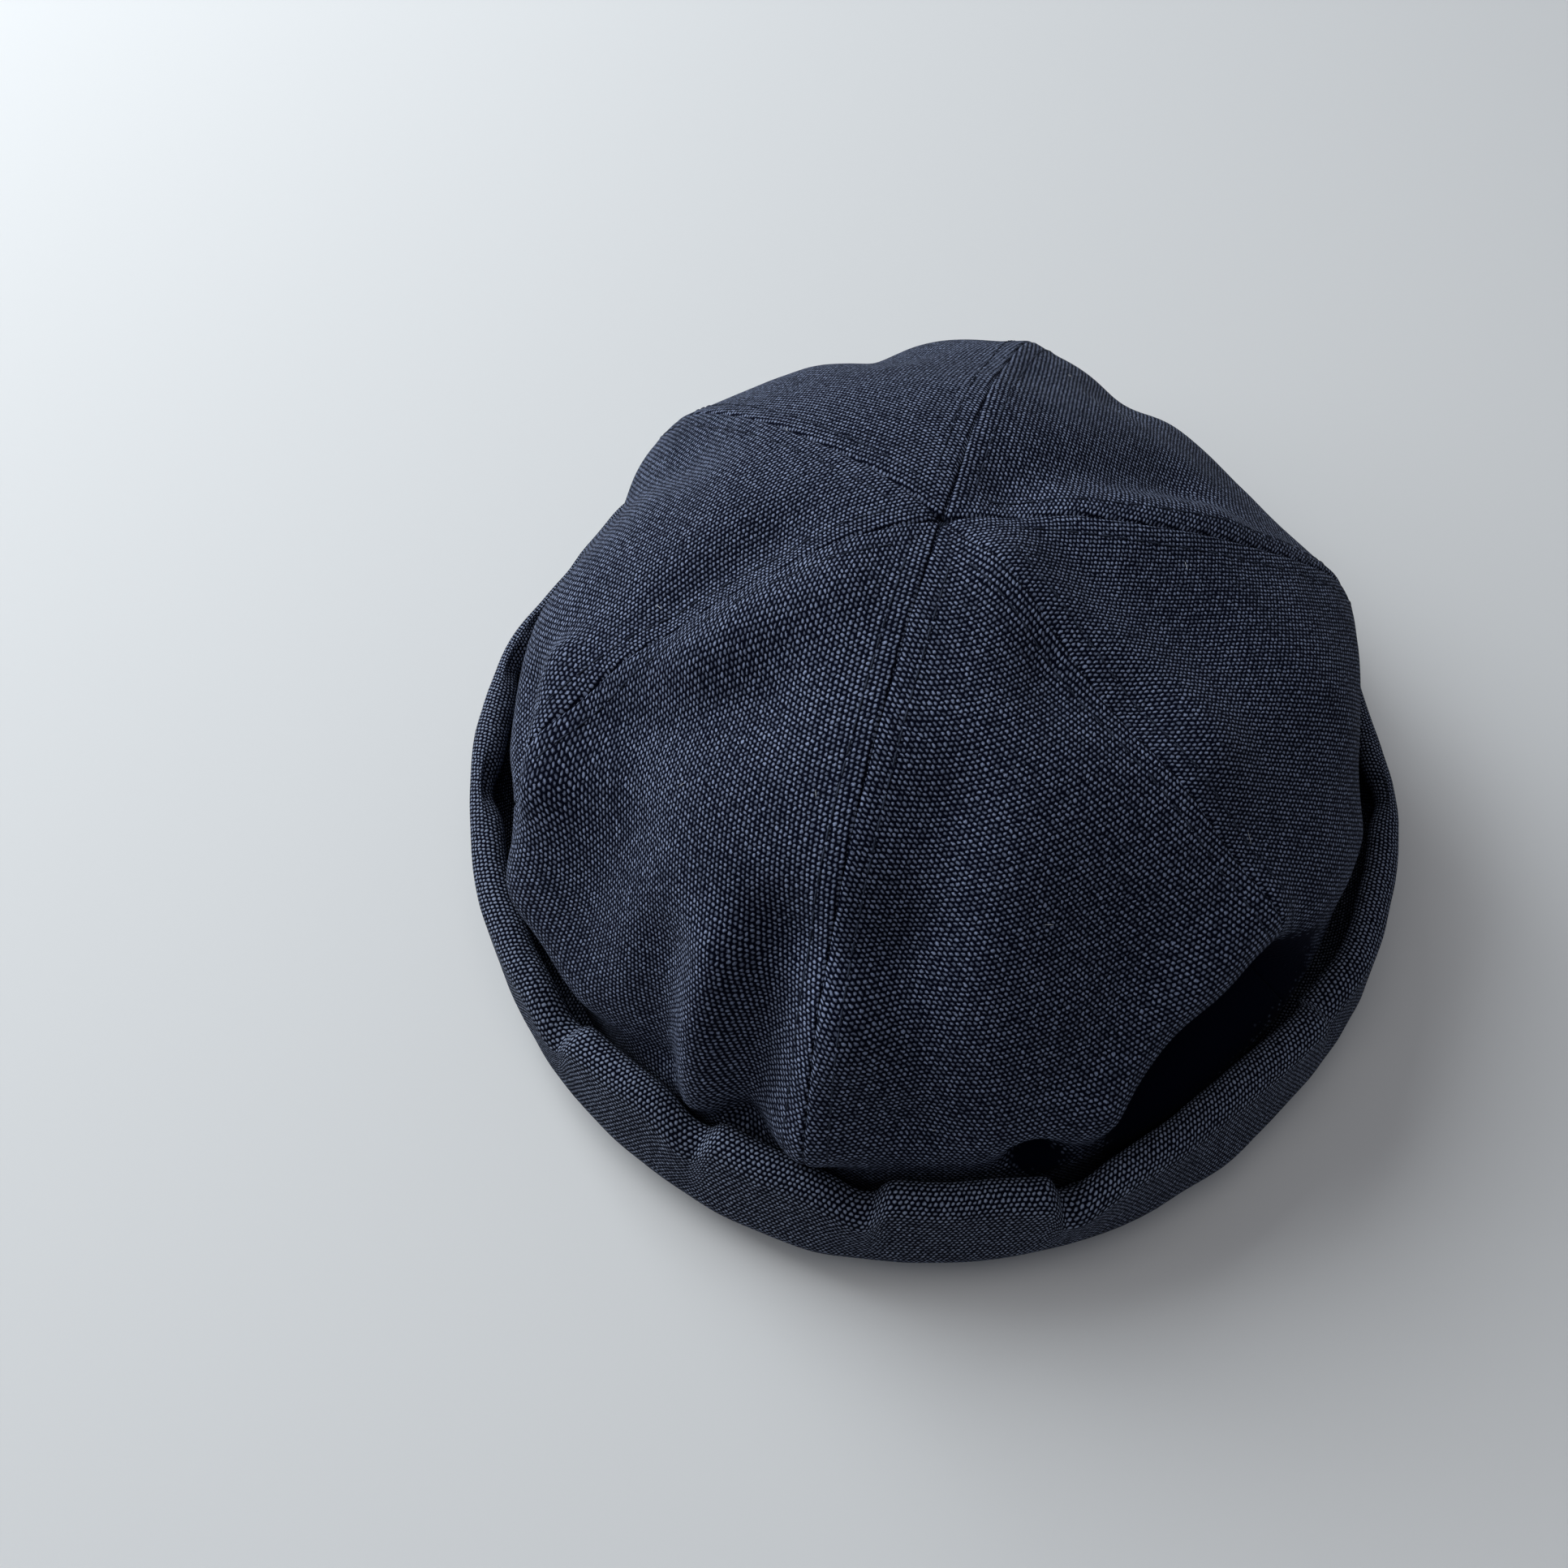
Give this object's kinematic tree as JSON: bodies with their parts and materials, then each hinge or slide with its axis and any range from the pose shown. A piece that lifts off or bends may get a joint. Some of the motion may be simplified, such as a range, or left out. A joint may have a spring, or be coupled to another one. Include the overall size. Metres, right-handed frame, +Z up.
{
  "type": "brimless fisherman cap",
  "caption": "Soft brimless cap of navy canvas, its domed crown sewn from gores, with a turned-up cuff rolled over at the edge, resting on its rim.",
  "frame": {"origin": "on the floor under the middle of the cuff's box, in the plane that the rim rests on", "axes": "+Z up through the crown, the front seam towards -Y, +Y the way the cap is longest"},
  "size_m": [0.1924, 0.2184, 0.0842],
  "materials": {
    "crown_canvas": "coarse plain-weave cotton canvas, navy, matt with a faint grey sheen",
    "cuff_canvas": "the same navy canvas, doubled and turned up, matt"
  },
  "bodies": {
    "root": {"crown_panel_1": "crown_canvas", "crown_panel_2": "crown_canvas", "crown_panel_3": "crown_canvas", "crown_panel_4": "crown_canvas", "crown_panel_5": "crown_canvas", "crown_panel_6": "crown_canvas", "cuff": "cuff_canvas"}
  },
  "joints": []
}
